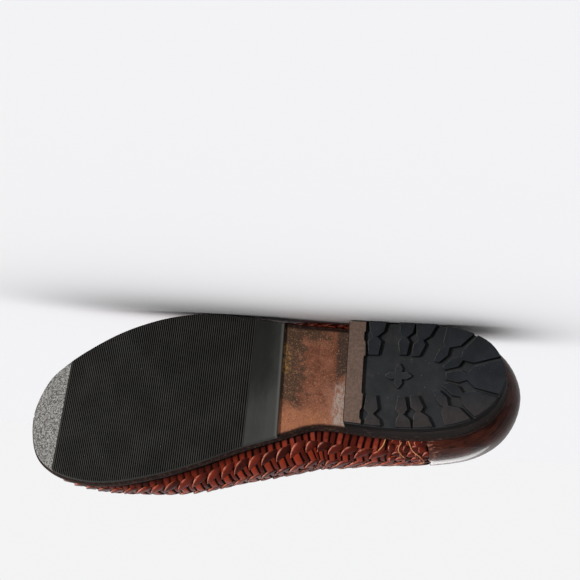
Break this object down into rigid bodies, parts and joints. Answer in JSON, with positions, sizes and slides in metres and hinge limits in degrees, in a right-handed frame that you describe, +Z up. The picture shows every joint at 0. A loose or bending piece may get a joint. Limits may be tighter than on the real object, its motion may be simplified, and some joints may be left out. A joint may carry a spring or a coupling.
{
  "type": "woven loafer",
  "caption": "Left woven-leather loafer lying on its outer side, with a ribbed rubber half-sole, bare leather waist, lugged rubber heel and plain heel counter.",
  "frame": {"origin": "on the floor, under the middle of the shoe's box as it lies on its outer side", "axes": "+X towards the toe, +Z up towards the inner side of the foot, sole facing -Y and collar +Y"},
  "size_m": [0.315, 0.108, 0.1199],
  "materials": {
    "woven_leather": "satin",
    "counter_leather": "gloss",
    "sole_leather": "matte",
    "edge_leather": "satin",
    "insole_leather": "satin",
    "half_sole_rubber": "matte",
    "heel_rubber": "matte"
  },
  "bodies": {
    "root": {"upper": "woven_leather", "counter": "counter_leather", "insole": "insole_leather", "outsole": "sole_leather", "half_sole": "half_sole_rubber", "heel_stack": "edge_leather", "heel_top_piece": "heel_rubber"}
  },
  "joints": []
}
